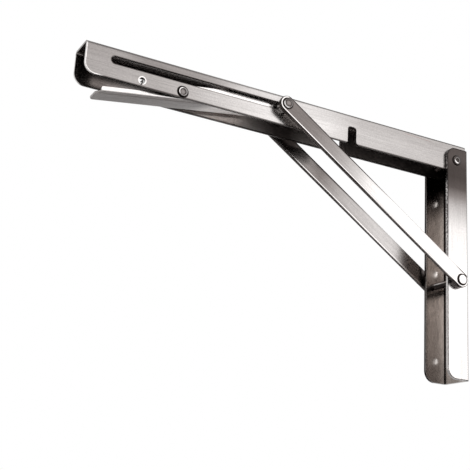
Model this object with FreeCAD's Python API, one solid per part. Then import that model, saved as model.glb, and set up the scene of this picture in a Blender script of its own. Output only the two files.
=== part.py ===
import FreeCAD, Part
import math
import os

V = FreeCAD.Vector

# Folding shelf bracket, in millimetres. +X leaves the wall, +Y is to the right of
# someone facing the wall, +Z is up. The origin is midway between the top and the
# bottom wall screw holes, on the back face. Depths are below the arm's shelf face.

# Wall channel: web on the wall, flanges forward
wall_width = 26.4
wall_sheet = 2.0
wall_reach = 19.4
wall_bend = 2.5
wall_top = 4.6
wall_bottom = 176.2
wall_top_back_r = 1.6
wall_top_front_r = 7.0
wall_bottom_front_r = 8.0
wall_screw_r = 2.5
wall_screw_depths = (37.0, 92.5, 158.5)

# Shelf arm: web up under the shelf, flanges down, nested in the wall channel
arm_tip = 300.0
arm_back = 0.8
arm_height = 22.0
arm_sheet = 1.5
arm_bend = 2.75
arm_nose_r = 7.5
side_play = 0.3
heel_gap = 0.3
shelf_screw_r = 2.25
shelf_screw_x = (45.0, 135.0)

# Pivots, as (reach from the wall, depth below the shelf face)
pivot_a = (10.8, 14.0)
pivot_b = (10.2, 105.6)
pin_p = (159.0, 9.0)
pivot_l = (arm_tip - 66.7, 18.0)
hook_hole = (arm_tip - 38.5, 17.7)

# Slot that the sliding pin runs in, and the notch that takes the lower rivet
slot_half = 2.65
slot_front = arm_tip - 19.45
slot_end_gap = 0.35
notch_half = 3.6
notch_top = 9.4
notch_top_r = 2.2
notch_back_lip_r = 2.7
notch_front_lip_r = 1.3

# Braces and rivets
brace_width = 11.3
brace_sheet = 2.5
brace_gap = 1.95
brace_edge = 0.35
shank_a_r = 2.5
shank_b_r = 2.3
washer_b_r = 4.4
stub_r = 2.0
pin_r = 2.55
washer_r = 4.6
shank_l_r = 1.9
spacer_r = 3.2
head_a_r = 4.0
head_b_r = 4.05
pin_head_r = 3.8
dome_rise = 1.2
flat_rise = 0.8
turn_play = 0.05
gap = 0.1
tiny = 1e-6

# Hollow head of the lever rivet, as (radius, rise) from its foot to its middle
hollow_profile = ((3.7, 0.0), (3.2, 1.0), (2.5, 1.0), (1.9, 0.4), (0.0, 0.4))

# Release lever: a channel open upward inside the arm, its handle hanging down
lever_angle = 8.8
lever_width = 15.2
lever_sheet = 1.5
lever_bend = 2.2
lever_below = 5.05
tail_stop_gap = 0.15
tail_u = -66.0
tail_r = 1.2
tail_web_u = -58.5
handle_height = 4.4
handle_u = 54.1
handle_front_r = 1.6
step_u = (7.0, 19.0)
step_r = 4.0
lip_u = 57.5
lip_chamfer = 3.2
nose_gap = 0.35
nose_raise = 2.0
nose_height = 2.6
nose_r = 0.8

# Torsion spring round the lever rivet
wire_r = 0.5
wire_sides = 8
coil_r = 2.95
coil_turns = 3
coil_facets = 10
coil_pitch = 1.15
coil_y = 0.4
foot_length = 17.0
hook_hole_r = 2.0
hook_drop = 0.3
hook_out = 1.1
hook_end = 2.3
hook_bend = 1.0
hook_facets = 4

# Derived sizes
shelf_z = (wall_screw_depths[0] + wall_screw_depths[-1]) / 2
wall_inner = wall_width / 2 - wall_sheet
arm_half = wall_inner - side_play
arm_inner = arm_half - arm_sheet
brace_in = wall_width / 2 + brace_gap
brace_out = brace_in + brace_sheet
heel_r = pivot_a[0] - wall_sheet - heel_gap
slot_back = pin_p[0] - (slot_half - pin_r) - slot_end_gap
brace_length = math.hypot(pin_p[0] - pivot_b[0], pivot_b[1] - pin_p[1])
brace_angle = math.degrees(math.atan2(pivot_b[1] - pin_p[1], pin_p[0] - pivot_b[0]))
notch_x = pivot_a[0] + pivot_b[1] - pivot_a[1]
lever_cos = math.cos(math.radians(lever_angle))
lever_sin = math.sin(math.radians(lever_angle))
nose_reach = pivot_l[0] - pin_p[0] - pin_r - nose_gap
nose_u = -nose_reach * lever_cos - (pivot_l[1] - pin_p[1]) * lever_sin
tail_room = pivot_l[1] - arm_sheet - tail_stop_gap
tail_height = lever_below + (tail_room + tail_u * lever_sin) / lever_cos
beyond = 2 * wall_width


def at(point, y=0.0):
    """The place of a (reach, depth) point at a given y."""
    return V(point[0], y, shelf_z - point[1])


def round_corner(before, corner, after, r):
    """Start, middle and end of the arc that rounds a corner between two points."""
    back = (before - corner).normalize()
    on = (after - corner).normalize()
    half = back.getAngle(on) / 2
    run = r / math.tan(half)
    centre = corner + (back + on).normalize() * (r / math.sin(half))
    middle = centre + (corner - centre).normalize() * r
    return corner + back * run, middle, corner + on * run


def side_face(points, y=-wall_width):
    """A closed face in the X-Z plane at y, from (reach, depth) corners.

    A corner is (x, depth) or (x, depth, radius); a radius rounds that corner.
    """
    places = [at(p, y) for p in points]
    count = len(points)
    corners = []
    for i in range(count):
        if len(points[i]) == 2:
            corners.append((places[i], None, places[i]))
        else:
            following = places[(i + 1) % count]
            corners.append(round_corner(places[i - 1], places[i], following, points[i][2]))
    edges = []
    for i in range(count):
        start, middle, end = corners[i]
        if middle is not None:
            edges.append(Part.Arc(start, middle, end).toShape())
        edges.append(Part.makeLine(end, corners[(i + 1) % count][0]))
    return Part.Face(Part.Wire(edges))


def across(face, width=beyond):
    """A side face carried in +Y, by default right across the bracket."""
    return face.extrude(V(0, width, 0))


def strip(start, end, r, y0, y1):
    """A level flat strip with round ends about two (reach, depth) points."""
    edges = [
        Part.makeLine(at((start[0], start[1] - r), y0), at((end[0], end[1] - r), y0)),
        Part.Arc(
            at((end[0], end[1] - r), y0), at((end[0] + r, end[1]), y0), at((end[0], end[1] + r), y0)
        ).toShape(),
        Part.makeLine(at((end[0], end[1] + r), y0), at((start[0], start[1] + r), y0)),
        Part.Arc(
            at((start[0], start[1] + r), y0),
            at((start[0] - r, start[1]), y0),
            at((start[0], start[1] - r), y0),
        ).toShape(),
    ]
    return across(Part.Face(Part.Wire(edges)), y1 - y0)


def bar(point, r, y0=-wall_width, y1=wall_width):
    """A round bar along Y through a (reach, depth) point."""
    return Part.makeCylinder(r, y1 - y0, at(point, y0), V(0, 1, 0))


def tube(point, r, bore, side, near, far):
    """A round tube along Y on one side, between two distances from the middle."""
    y0, y1 = sorted((near * side, far * side))
    return bar(point, r, y0, y1).cut(bar(point, bore))


def channel_face(width, height, sheet, bend):
    """A U section in the Y-Z plane, its web on top at z = 0 and its legs down."""
    half = width / 2
    inner = half - sheet
    tight = bend - sheet
    k = math.sqrt(0.5)
    outer_l = V(0, -half + bend - bend * k, -bend + bend * k)
    outer_r = V(0, half - bend + bend * k, -bend + bend * k)
    inner_l = V(0, -half + bend - tight * k, -bend + tight * k)
    inner_r = V(0, half - bend + tight * k, -bend + tight * k)
    edges = [
        Part.makeLine(V(0, -half, -height), V(0, -half, -bend)),
        Part.Arc(V(0, -half, -bend), outer_l, V(0, -half + bend, 0)).toShape(),
        Part.makeLine(V(0, -half + bend, 0), V(0, half - bend, 0)),
        Part.Arc(V(0, half - bend, 0), outer_r, V(0, half, -bend)).toShape(),
        Part.makeLine(V(0, half, -bend), V(0, half, -height)),
        Part.makeLine(V(0, half, -height), V(0, inner, -height)),
        Part.makeLine(V(0, inner, -height), V(0, inner, -bend)),
        Part.Arc(V(0, inner, -bend), inner_r, V(0, half - bend, -sheet)).toShape(),
        Part.makeLine(V(0, half - bend, -sheet), V(0, -half + bend, -sheet)),
        Part.Arc(V(0, -half + bend, -sheet), inner_l, V(0, -inner, -bend)).toShape(),
        Part.makeLine(V(0, -inner, -bend), V(0, -inner, -height)),
        Part.makeLine(V(0, -inner, -height), V(0, -half, -height)),
    ]
    return Part.Face(Part.Wire(edges))


def make_wall_channel():
    """The upright: a channel with rounded corners, screw holes and two rivet holes."""
    blank = channel_face(wall_width, wall_reach, wall_sheet, wall_bend)
    blank.rotate(V(0, 0, 0), V(0, 1, 0), -90)
    blank.translate(V(0, 0, shelf_z - wall_bottom))
    body = blank.extrude(V(0, 0, wall_bottom))
    outline = side_face(
        [
            (0, wall_top, wall_top_back_r),
            (wall_reach, wall_top, wall_top_front_r),
            (wall_reach, wall_bottom, wall_bottom_front_r),
            (0, wall_bottom),
        ]
    )
    body = body.common(across(outline))
    for depth in wall_screw_depths:
        start = V(-wall_sheet, 0, shelf_z - depth)
        body = body.cut(Part.makeCylinder(wall_screw_r, 3 * wall_sheet, start, V(1, 0, 0)))
    return body.cut([bar(pivot_a, shank_a_r), bar(pivot_b, shank_b_r)])


def make_shelf_arm():
    """The arm: slot, notch, round heel about the top pivot and rounded nose."""
    blank = channel_face(2 * arm_half, arm_height, arm_sheet, arm_bend)
    blank.translate(V(arm_back, 0, shelf_z))
    body = blank.extrude(V(arm_tip - arm_back, 0, 0))
    heel_x = pivot_a[0] - heel_r
    heel_top = wall_top - heel_gap
    outline = side_face(
        [
            (arm_back, 0),
            (arm_tip, 0),
            (arm_tip, arm_height, arm_nose_r),
            (pivot_a[0], arm_height),
            (pivot_a[0], pivot_a[1]),
            (heel_x, pivot_a[1]),
            (heel_x, heel_top),
            (arm_back, heel_top - (heel_x - arm_back)),
        ]
    )
    corner = V(heel_x, -wall_width, shelf_z - arm_height)
    below = Part.makeBox(2 * heel_r, beyond, heel_r, corner)
    heel = bar(pivot_a, heel_r).common(below)
    body = body.common(across(outline).fuse(heel).removeSplitter())
    slot_ends = (slot_back, pin_p[1]), (slot_front, pin_p[1])
    body = body.cut(strip(*slot_ends, slot_half, -wall_width, wall_width))
    back = notch_x - notch_half
    front = notch_x + notch_half
    notch = side_face(
        [
            (back - notch_half, arm_height + notch_half),
            (back - notch_half, arm_height),
            (back, arm_height, notch_back_lip_r),
            (back, notch_top, notch_top_r),
            (front, notch_top, notch_top_r),
            (front, arm_height, notch_front_lip_r),
            (front + notch_half, arm_height),
            (front + notch_half, arm_height + notch_half),
        ]
    )
    body = body.cut(across(notch))
    body = body.cut([bar(pivot_a, shank_a_r + turn_play), bar(pivot_l, shank_l_r)])
    body = body.cut(bar(hook_hole, hook_hole_r, 0))
    for x in shelf_screw_x:
        start = V(x, 0, shelf_z - 2 * arm_sheet)
        body = body.cut(Part.makeCylinder(shelf_screw_r, 3 * arm_sheet, start, V(0, 0, 1)))
    return body


def make_brace(side):
    """A flat brace with round ends, riveted at the wall end. side is -1 or +1."""
    y0, y1 = sorted((brace_in * side, brace_out * side))
    body = strip((0, shelf_z), (brace_length, shelf_z), brace_width / 2, y0, y1)
    outer = y1 if side > 0 else y0
    rim = [e for e in body.Edges if abs(e.BoundBox.Center.y - outer) < tiny]
    body = body.makeChamfer(brace_edge, rim)
    body.rotate(V(0, 0, 0), V(0, 1, 0), -brace_angle)
    body.translate(at(pivot_b))
    return body.cut([bar(pivot_b, shank_b_r + turn_play), bar(pin_p, stub_r)])


def dome(r, rise):
    """A domed head on the X-Z plane, standing in +Y."""
    sphere_r = (r * r + rise * rise) / (2 * rise)
    ball = Part.makeSphere(sphere_r, V(0, rise - sphere_r, 0))
    return ball.common(Part.makeCylinder(r, 2 * rise, V(0, 0, 0), V(0, 1, 0)))


def turned(profile):
    """A head on the X-Z plane turned from (radius, rise) corners, standing in +Y."""
    corners = [V(0, 0, 0)] + [V(r, rise, 0) for r, rise in profile] + [V(0, 0, 0)]
    face = Part.Face(Part.makePolygon(corners))
    return face.revolve(V(0, 0, 0), V(0, 1, 0), 360)


def put_head(head, point, y, side):
    """Carry a head to the plane y of a pivot, standing off to one side."""
    placed = head.copy()
    if side < 0:
        placed.rotate(V(0, 0, 0), V(1, 0, 0), 180)
    placed.translate(at(point, y * side))
    return placed


def make_rivet(point, shank, half, head):
    """A rivet across the bracket with a head beyond each end of its shank."""
    body = bar(point, shank, -half, half)
    heads = [put_head(head, point, half, side) for side in (-1, 1)]
    return body.fuse(heads).removeSplitter()


def make_pin_head(side):
    """The sliding pin's end in a brace: a domed head and the stub that fills the hole."""
    y0, y1 = sorted((brace_in * side, brace_out * side))
    head = put_head(dome(pin_head_r, dome_rise), pin_p, brace_out, side)
    return bar(pin_p, stub_r, y0, y1).fuse(head).removeSplitter()


def make_slide_pin(side):
    """The part of the pin that runs in one flange's slot."""
    y0, y1 = sorted((arm_inner * side, (brace_in - gap) * side))
    return bar(pin_p, pin_r, y0, y1)


def make_release_lever():
    """The lever: tall tail that stops on the web, low handle, bare lip, two low noses."""
    section = channel_face(lever_width, 2 * tail_height, lever_sheet, lever_bend)
    section.rotate(V(0, 0, 0), V(1, 0, 0), 180)
    section.translate(V(nose_u, 0, -lever_below))
    body = section.extrude(V(lip_u - nose_u, 0, 0))
    base = shelf_z + lever_below
    tail_top = base - tail_height
    grip_top = base - handle_height
    nose_low = base - nose_raise
    nose_high = nose_low - nose_height
    outline = side_face(
        [
            (nose_u, nose_low, nose_r),
            (nose_u, nose_high, nose_r),
            (tail_u, nose_high, nose_r),
            (tail_u, tail_top, tail_r),
            (step_u[0], tail_top, step_r),
            (step_u[1], grip_top, step_r),
            (handle_u, grip_top, handle_front_r),
            (handle_u, base - lever_sheet),
            (lip_u, base - lever_sheet),
            (lip_u, base),
            (tail_web_u, base),
            (tail_web_u, nose_low, nose_r),
        ]
    )
    body = body.common(across(outline))
    half = lever_width / 2
    for side in (-1, 1):
        corners = [(lip_u - lip_chamfer, half), (lip_u, half - lip_chamfer), (lip_u, half)]
        points = [V(u, y * side, -lever_below) for u, y in corners]
        corner = Part.Face(Part.makePolygon(points + points[:1]))
        body = body.cut(corner.extrude(V(0, 0, tail_height)))
    hole = Part.makeCylinder(shank_l_r + gap, beyond, V(0, -wall_width, 0), V(0, 1, 0))
    body = body.cut(hole)
    body.rotate(V(0, 0, 0), V(0, 1, 0), lever_angle)
    body.translate(at(pivot_l))
    return body


def make_lever_spring():
    """Torsion spring: coil round the rivet, one foot on the lever, one hook in the arm."""
    centre = at(pivot_l)
    hook = at(hook_hole) - V(0, 0, hook_drop)
    foot_dir = V(lever_cos, 0, -lever_sin)
    foot_turn = -math.pi / 2 - math.radians(lever_angle)
    rise = math.atan2(hook.z - centre.z - coil_r, hook.x - centre.x)
    sweep = 2 * math.pi * coil_turns - (math.pi / 2 + rise - foot_turn)
    steps = math.ceil(sweep / (2 * math.pi) * coil_facets)
    path = []
    for i in range(steps + 1):
        turn = foot_turn - sweep * i / steps
        y = coil_y + coil_pitch * sweep / (2 * math.pi) * i / steps
        path.append(centre + V(coil_r * math.cos(turn), y, coil_r * math.sin(turn)))
    path.insert(0, path[0] + foot_dir * foot_length)
    inner = V(hook.x, path[-1].y, hook.z)
    outer = V(hook.x, arm_half + hook_out, hook.z)
    end = outer - V(0, 0, hook_end)
    for before, corner, after in ((path[-1], inner, outer), (inner, outer, end)):
        arc = Part.Arc(*round_corner(before, corner, after, hook_bend))
        path += arc.discretize(hook_facets)
    path.append(end)
    ring = []
    for i in range(wire_sides + 1):
        turn = 2 * math.pi * i / wire_sides
        up = V(lever_sin, 0, lever_cos) * math.sin(turn)
        ring.append(path[0] + (up + V(0, math.cos(turn), 0)) * wire_r)
    return Part.makePolygon(path).makePipeShell([Part.makePolygon(ring)], True, False, 1)


def main():
    """Build every piece and write one file for each."""
    flat_head = turned(((head_b_r, 0), (head_b_r, flat_rise), (0, flat_rise)))
    washer = (pin_p, washer_r, pin_r)
    brace_washer = (pivot_b, washer_b_r, shank_b_r)
    spacer = (pivot_l, spacer_r, shank_l_r)
    pieces = {
        "wall_channel": make_wall_channel(),
        "shelf_arm": make_shelf_arm(),
        "brace_left": make_brace(-1),
        "brace_right": make_brace(1),
        "release_lever": make_release_lever(),
        "lever_spring": make_lever_spring(),
        "lever_rivet": make_rivet(pivot_l, shank_l_r, arm_half, turned(hollow_profile)),
        "lever_spacer_left": tube(*spacer, -1, lever_width / 2 + gap, arm_inner),
        "lever_spacer_right": tube(*spacer, 1, lever_width / 2 + gap, arm_inner),
        "top_rivet": make_rivet(pivot_a, shank_a_r, wall_width / 2, dome(head_a_r, dome_rise)),
        "brace_rivet": make_rivet(pivot_b, shank_b_r, brace_out + turn_play, flat_head),
        "brace_washer_left": tube(*brace_washer, -1, wall_width / 2 + gap, brace_in - gap),
        "brace_washer_right": tube(*brace_washer, 1, wall_width / 2 + gap, brace_in - gap),
        "slide_pin_left": make_slide_pin(-1),
        "slide_pin_right": make_slide_pin(1),
        "slide_washer_left": tube(*washer, -1, arm_half + gap, brace_in - gap),
        "slide_washer_right": tube(*washer, 1, arm_half + gap, brace_in - gap),
        "pin_head_left": make_pin_head(-1),
        "pin_head_right": make_pin_head(1),
    }
    os.makedirs("parts", exist_ok=True)
    for name, shape in pieces.items():
        shape.exportStep("parts/" + name + ".step")


main()
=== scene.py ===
import logging
import math
from dataclasses import dataclass
from enum import Enum
from typing import Any, Optional, Union

import bpy
import numpy as np
from mathutils import Matrix, Vector


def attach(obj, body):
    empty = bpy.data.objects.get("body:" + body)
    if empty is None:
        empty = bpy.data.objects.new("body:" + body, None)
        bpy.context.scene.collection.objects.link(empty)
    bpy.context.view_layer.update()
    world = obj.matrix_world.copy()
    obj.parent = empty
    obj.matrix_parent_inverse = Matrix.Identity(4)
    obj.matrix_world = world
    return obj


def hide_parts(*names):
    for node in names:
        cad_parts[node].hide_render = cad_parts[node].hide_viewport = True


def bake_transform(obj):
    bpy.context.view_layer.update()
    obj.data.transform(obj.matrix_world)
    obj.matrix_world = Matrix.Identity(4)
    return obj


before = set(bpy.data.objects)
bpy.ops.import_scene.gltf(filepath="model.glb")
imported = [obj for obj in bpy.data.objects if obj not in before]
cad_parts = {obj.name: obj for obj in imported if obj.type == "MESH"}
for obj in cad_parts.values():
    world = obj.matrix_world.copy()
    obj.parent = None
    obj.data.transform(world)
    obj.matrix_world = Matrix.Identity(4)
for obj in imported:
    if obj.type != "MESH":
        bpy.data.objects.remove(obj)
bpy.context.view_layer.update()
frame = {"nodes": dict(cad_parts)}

MM = 0.001
LOG = logging.getLogger("shelf_bracket")
Term = Union["Value", float]
Pair = tuple[float, float]
Triple = tuple[float, float, float]
Stops = tuple[Pair, ...]
Socket = bpy.types.NodeSocket
Piece = bpy.types.Object
Colour = Union[Triple, Socket]
WHITE = (1.0, 1.0, 1.0)

# Axes along Y as (X, Z) in millimetres, the brace's direction, and the lever's slope.
TOP_PIVOT = (10.8, 83.75)
FOOT_PIVOT = (10.2, -7.85)
LEVER_PIVOT = (233.3, 79.75)
PIN_PLACE = (159.0, 88.75)
STRAP_ALONG = (0.8388, 0.5445)
LEVER_SLOPE = math.radians(8.8)


class Grain(Enum):
    """The way a steel face was brushed, as a stretch of the brushing pattern.

    The numbers divide X, Y and Z, so the pattern runs long where they are large.
    """

    ALONG_ARM = (26.0, 1.0, 0.55)
    ALONG_UPRIGHT = (0.55, 1.0, 26.0)
    SPUN = (1.0, 1.0, 1.0)


class Value:
    """A number socket of a material, which sums as a number does."""

    def __init__(self, graph: "Graph", socket: Socket) -> None:
        """Keep the socket and the graph that new nodes join."""
        self.graph = graph
        self.socket = socket

    def _math(self, operation: str, *terms: Term) -> "Value":
        """Add one Math node over the given terms."""
        node = self.graph.node("ShaderNodeMath", {"operation": operation}, dict(enumerate(terms)))
        return Value(self.graph, node.outputs[0])

    def __add__(self, other: Term) -> "Value":
        """self + other."""
        return self._math("ADD", self, other)

    def __radd__(self, other: float) -> "Value":
        """other + self."""
        return self._math("ADD", other, self)

    def __sub__(self, other: Term) -> "Value":
        """self - other."""
        return self._math("SUBTRACT", self, other)

    def __rsub__(self, other: float) -> "Value":
        """other - self."""
        return self._math("SUBTRACT", other, self)

    def __mul__(self, other: Term) -> "Value":
        """self * other."""
        return self._math("MULTIPLY", self, other)

    def __truediv__(self, other: Term) -> "Value":
        """self / other."""
        return self._math("DIVIDE", self, other)

    def __neg__(self) -> "Value":
        """-self."""
        return self._math("MULTIPLY", self, -1.0)

    def size(self) -> "Value":
        """self without its sign."""
        return self._math("ABSOLUTE", self)

    def length(self, other: "Value") -> "Value":
        """The length of the vector (self, other)."""
        square = self * self + other * other
        return square._math("SQRT", square)

    def above(self, other: Term) -> "Value":
        """The larger of self and other."""
        return self._math("MAXIMUM", self, other)

    def step(self, low: float, high: float) -> "Value":
        """Rise smoothly from 0 to 1, or fall where low is above high.

        Args:
            low: where the step is 0.
            high: where it is 1.

        Returns:
            The step's height.
        """
        swap = low > high
        inputs = {"Value": self, "From Min": min(low, high), "From Max": max(low, high)}
        inputs |= {"To Min": float(swap), "To Max": float(not swap)}
        settings = {"interpolation_type": "SMOOTHSTEP"}
        return Value(self.graph, self.graph.node("ShaderNodeMapRange", settings, inputs).outputs["Result"])


@dataclass(frozen=True)
class Spot:
    """A place on a piece as its material reads it, in millimetres."""

    g: "Graph"
    vector: Socket
    x: Value
    y: Value
    z: Value
    out: Value

    def far(self, place: Pair) -> Value:
        """How far the spot is from an axis along Y at (X, Z)."""
        return (self.x - place[0]).length(self.z - place[1])


class Graph:
    """The node tree of one material or of the world."""

    def __init__(self, tree: bpy.types.NodeTree) -> None:
        """Empty the tree and start anew."""
        self.tree = tree
        tree.nodes.clear()

    def node(
        self, kind: str, settings: dict[str, Any], inputs: dict[Union[str, int], Any]
    ) -> bpy.types.ShaderNode:
        """Add a node, set it up, then give its sockets their values and links.

        Args:
            kind: the node's type name.
            settings: its properties; "stops" holds a colour ramp's stops.
            inputs: socket name or number to a plain value, a Value or a socket.

        Returns:
            The new node.
        """
        node = self.tree.nodes.new(kind)
        for key, value in settings.items():
            if key == "stops":
                self._set_stops(node.color_ramp, value)
            else:
                setattr(node, key, value)
        for key, value in inputs.items():
            target = node.inputs[key]
            source = value.socket if isinstance(value, Value) else value
            if isinstance(source, Socket):
                self.tree.links.new(source, target)
            else:
                target.default_value = source
        return node

    @staticmethod
    def _set_stops(ramp: bpy.types.ColorRamp, stops: list[tuple[float, Triple]]) -> None:
        """Give a new colour ramp its stops.

        Args:
            ramp: the ramp.
            stops: pairs of place and colour, lowest first.
        """
        while len(ramp.elements) > 1:
            ramp.elements.remove(ramp.elements[-1])
        ramp.elements[0].position = stops[0][0]
        ramp.elements[0].color = (*stops[0][1], 1.0)
        for place, colour in stops[1:]:
            ramp.elements.new(place).color = (*colour, 1.0)

    def spot(self) -> Spot:
        """Read the piece's own coordinates.

        Returns:
            The place in millimetres, with how far it is from the middle plane.
        """
        coords = self.node("ShaderNodeTexCoord", {}, {}).outputs["Object"]
        scaled = self.node("ShaderNodeVectorMath", {"operation": "SCALE"}, {0: coords, "Scale": 1 / MM})
        vector = scaled.outputs["Vector"]
        x, y, z = (Value(self, part) for part in self.node("ShaderNodeSeparateXYZ", {}, {0: vector}).outputs)
        return Spot(self, vector, x, y, z, y.size())

    def noise(
        self, vector: Socket, scale: float, stretch: Triple = (1.0, 1.0, 1.0), detail: float = 2.0
    ) -> Value:
        """Soft noise around 0.5, stretched along the axes by the given shares.

        Args:
            vector: where the noise is read, in millimetres.
            scale: noise cells per millimetre before stretching.
            stretch: how many times longer the cells are along X, Y and Z.
            detail: octaves of finer noise.

        Returns:
            The noise value.
        """
        shrink = tuple(1.0 / share for share in stretch)
        spread = self.node("ShaderNodeVectorMath", {"operation": "MULTIPLY"}, {0: vector, 1: shrink})
        inputs = {"Vector": spread.outputs["Vector"], "Scale": scale, "Detail": detail}
        node = self.node("ShaderNodeTexNoise", {"noise_dimensions": "3D"}, inputs)
        return Value(self, node.outputs["Fac"])

    def run(self, value: Value, stops: Stops) -> Socket:
        """A shade of steel that follows a measure.

        Args:
            value: the measure in millimetres.
            stops: pairs of measure and level, lowest first.

        Returns:
            The shade.
        """
        low, high = stops[0][0], stops[-1][0]
        shades = [((mm - low) / (high - low), shade(level)) for mm, level in stops]
        share = (value - low) / (high - low)
        return self.node("ShaderNodeValToRGB", {"stops": shades}, {0: share}).outputs["Color"]

    def mix(self, factor: Term, under: Colour, over: Colour, blend: str = "MIX") -> Socket:
        """Lay one colour over another.

        Args:
            factor: how much of the upper one shows, from 0 to 1.
            under: the lower colour.
            over: the upper colour.
            blend: the Mix node's way of blending.

        Returns:
            The blended colour.
        """
        settings = {"data_type": "RGBA", "blend_type": blend}
        colours = [(*c, 1.0) if isinstance(c, tuple) else c for c in (under, over)]
        return self.node("ShaderNodeMix", settings, {0: factor, 6: colours[0], 7: colours[1]}).outputs[2]

    def tinted(self, colour: Colour, tint: Colour) -> Socket:
        """A colour multiplied by a tint."""
        return self.mix(1.0, colour, tint, "MULTIPLY")


def shade(level: float, warmth: float = 0.25, green: float = 0.77) -> Triple:
    """The tint of steel at a painted light-and-shade level, white at 1 and warmer as it darkens.

    Blue loses warmth times (1 - level)^4, and green its share of that.

    Args:
        level: the red part.
        warmth: what blue loses at level 0.
        green: the share of that loss that green has.

    Returns:
        The tint.
    """
    loss = warmth * (1.0 - level) ** 4
    return level, level * (1.0 - green * loss), level * (1.0 - loss)


def beyond(east: Value, up: Value) -> Value:
    """How far a spot is from a quarter plane, given how far it is past each side."""
    return east.above(0.0).length(up.above(0.0))


def on_face(out: Value, outer: float) -> Value:
    """1 on a sheet's outer face, which lies this far from the middle plane."""
    return out.step(outer - 0.5, outer - 0.2)


def on_cut(out: Value, inner: float, outer: float) -> Value:
    """1 on the cut edge of a sheet, between its inner and its outer face."""
    return out.step(inner + 0.05, inner + 0.2) * out.step(outer - 0.05, outer - 0.15)


@dataclass(frozen=True)
class Outline:
    """A painted line of shade or highlight beside the outline of a sheet, hole or head."""

    width: float
    soft: float
    level: float
    weight: float = 1.0

    def around(self, far: Value, radius: float) -> Value:
        """The line's weight just outside the radius, and all within it."""
        edge = radius + self.width
        return far.step(edge, edge - self.soft) * self.weight

    def inside(self, far: Value, radius: float) -> Value:
        """The line's weight just inside the radius, and all beyond it."""
        edge = radius - self.width
        return far.step(edge, edge + self.soft) * self.weight


@dataclass(frozen=True)
class Patches:
    """Noise that lets another colour through where it is high."""

    scale: float
    low: float
    high: float
    weight: float
    detail: float
    stretch: Triple = (1.0, 1.0, 1.0)

    def noise(self, g: Graph, vector: Socket, stretch: Optional[Triple] = None) -> Value:
        """The noise itself, with another stretch where one is given."""
        return g.noise(vector, self.scale, stretch or self.stretch, self.detail)

    def share(self, noise: Value) -> Value:
        """How much of the other colour shows."""
        return noise.step(self.low, self.high) * self.weight

    def spread(self, at: Spot) -> Value:
        """How much of the other colour shows, with no other stretch."""
        return self.share(self.noise(at.g, at.vector))


@dataclass(frozen=True)
class SteelFinish:
    """Brushed stainless steel with clouding, fine scratches and softened edges."""

    name: str
    colour: Triple = (0.82, 0.79, 0.775)
    cloud_colour: Triple = (0.68, 0.645, 0.63)
    dark_level: float = 0.3
    roughness: float = 0.24
    roughness_spread: float = 0.14
    grain: Grain = Grain.ALONG_ARM
    grain_turn: float = 0.0
    clouds: Patches = Patches(0.035, 0.35, 0.7, 0.6, 3.0, (2.0, 1.0, 2.0))
    brushing: Patches = Patches(3.2, 0.3, 0.72, 0.4, 4.0)
    streaks: Patches = Patches(0.9, 0.4, 0.66, 0.2, 3.0)
    mottle: Patches = Patches(0.9, 0.35, 0.65, 0.16, 2.0)
    scratch_scale: float = 7.0
    scratch_share: float = 0.4
    bump_strength: float = 0.35
    grain_depth: float = 0.012
    edge_radius: float = 0.3

    def tone(self, at: Spot) -> Optional[Socket]:
        """The painted light and shade that tint the steel from place to place; plain steel has none."""
        return None

    def dullness(self, at: Spot) -> Term:
        """How much rougher than its finish the steel is from place to place."""
        return 0.0

    def build(self) -> bpy.types.Material:
        """Make the material.

        Returns:
            The finished material.
        """
        material = bpy.data.materials.new(self.name)
        material.use_nodes = True
        g = Graph(material.node_tree)
        at = g.spot()
        turn = {0: at.vector, "Rotation": (0.0, self.grain_turn, 0.0)}
        along = g.node("ShaderNodeMapping", {}, turn).outputs["Vector"]
        brushed = self.brushing.noise(g, along, self.grain.value)
        streaks = self.streaks.noise(g, along, self.grain.value)
        scratches = g.noise(along, self.scratch_scale, self.grain.value)
        dark = shade(self.dark_level)
        base = g.mix(self.clouds.spread(at), self.colour, self.cloud_colour)
        base = g.mix(self.brushing.share(brushed), base, self.cloud_colour)
        base = g.mix(self.streaks.share(streaks), base, dark)
        base = g.mix(self.mottle.spread(at), base, dark)
        # painted light and shade from tone() multiply the base colour
        tint = self.tone(at)
        if tint is not None:
            base = g.tinted(base, tint)
        roughness = self.dullness(at) + self.roughness
        roughness += (brushed + streaks - 1.0) * self.roughness_spread
        bevel = g.node("ShaderNodeBevel", {"samples": 4}, {"Radius": self.edge_radius * MM})
        relief = {
            "Strength": self.bump_strength,
            "Distance": self.grain_depth * MM,
            "Height": brushed * (1.0 - self.scratch_share) + scratches * self.scratch_share,
            "Normal": bevel.outputs["Normal"],
        }
        normal = g.node("ShaderNodeBump", {}, relief).outputs["Normal"]
        look = {"Base Color": base, "Metallic": 1.0, "Roughness": roughness, "Normal": normal}
        shader = g.node("ShaderNodeBsdfPrincipled", {}, look)
        g.node("ShaderNodeOutputMaterial", {}, {"Surface": shader.outputs["BSDF"]})
        return material


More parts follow.
